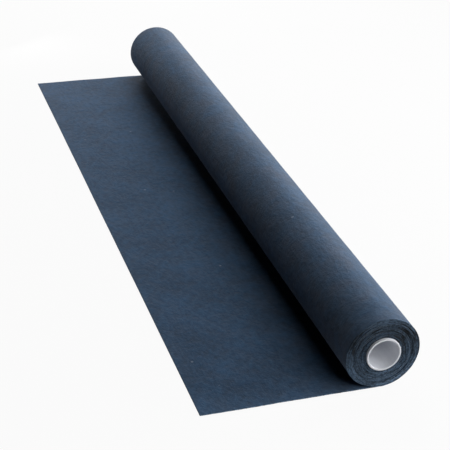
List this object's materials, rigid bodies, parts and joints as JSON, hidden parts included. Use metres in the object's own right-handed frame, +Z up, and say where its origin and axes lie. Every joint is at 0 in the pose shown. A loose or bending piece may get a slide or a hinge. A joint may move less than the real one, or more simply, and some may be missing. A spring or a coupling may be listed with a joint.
{
  "type": "roll of geotextile",
  "caption": "Long roll of dark needle-punched geotextile on a tubular core, with its free end lying unrolled flat on the floor beside it.",
  "frame": {"origin": "the point of the floor under the middle of the roll's axis", "axes": "+Y along the roll's axis, +Z up from the floor, and the unrolled free end lies towards -X"},
  "size_m": [0.5234, 2.011, 0.1825],
  "materials": {
    "geotextile": "matte needle-punched felt, dark slate blue",
    "core_tube": "smooth pale grey plastic"
  },
  "bodies": {
    "root": {"geotextile": "geotextile", "core_tube": "core_tube"}
  },
  "joints": []
}
